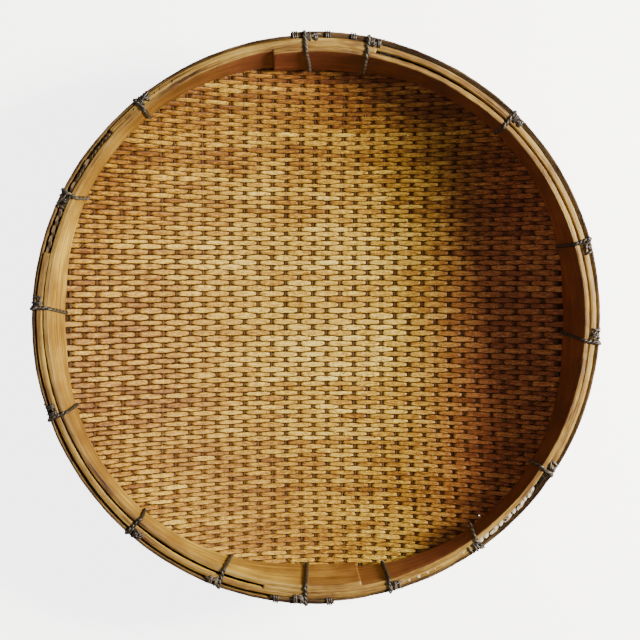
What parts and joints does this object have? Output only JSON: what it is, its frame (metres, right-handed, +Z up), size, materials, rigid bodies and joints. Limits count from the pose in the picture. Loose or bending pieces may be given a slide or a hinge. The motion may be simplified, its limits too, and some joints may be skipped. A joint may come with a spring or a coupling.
{
  "type": "winnowing basket",
  "caption": "Round shallow winnowing basket of plain-woven bamboo splints, clamped between two bent hoops with wrapped ties.",
  "frame": {"origin": "centre of the base, on the surface the basket stands on", "axes": "+Z up, out of the bowl; the wide warp splints run along Y and the narrow weft splints along X"},
  "size_m": [0.5616, 0.5648, 0.1391],
  "materials": {
    "splint": "dry split bamboo, satin",
    "warp": "dry split bamboo, aged",
    "hoop": "bent bamboo lath, worn",
    "filler": "split cane",
    "tie": "dark weathered cane binding"
  },
  "bodies": {
    "root": {"inner_hoop_left": "hoop", "inner_hoop_right": "hoop", "outer_hoop_left": "hoop", "outer_hoop_right": "hoop", "rim_filler_left": "filler", "rim_filler_right": "filler", "rim_tie_01": "tie", "rim_tie_02": "tie", "rim_tie_03": "tie", "rim_tie_04": "tie", "rim_tie_05": "tie", "rim_tie_06": "tie", "rim_tie_07": "tie", "rim_tie_08": "tie", "rim_tie_09": "tie", "rim_tie_10": "tie", "rim_tie_11": "tie", "rim_tie_12": "tie", "rim_tie_13": "tie", "rim_tie_14": "tie", "rim_tie_15": "tie", "splice_stitches_back": "tie", "splice_stitches_front": "tie", "warp_splints_left": "warp", "warp_splints_middle": "warp", "warp_splints_right": "warp", "weft_splints_back": "splint", "weft_splints_back_edge": "splint", "weft_splints_front": "splint", "weft_splints_front_edge": "splint", "weft_splints_middle": "splint"}
  },
  "joints": []
}
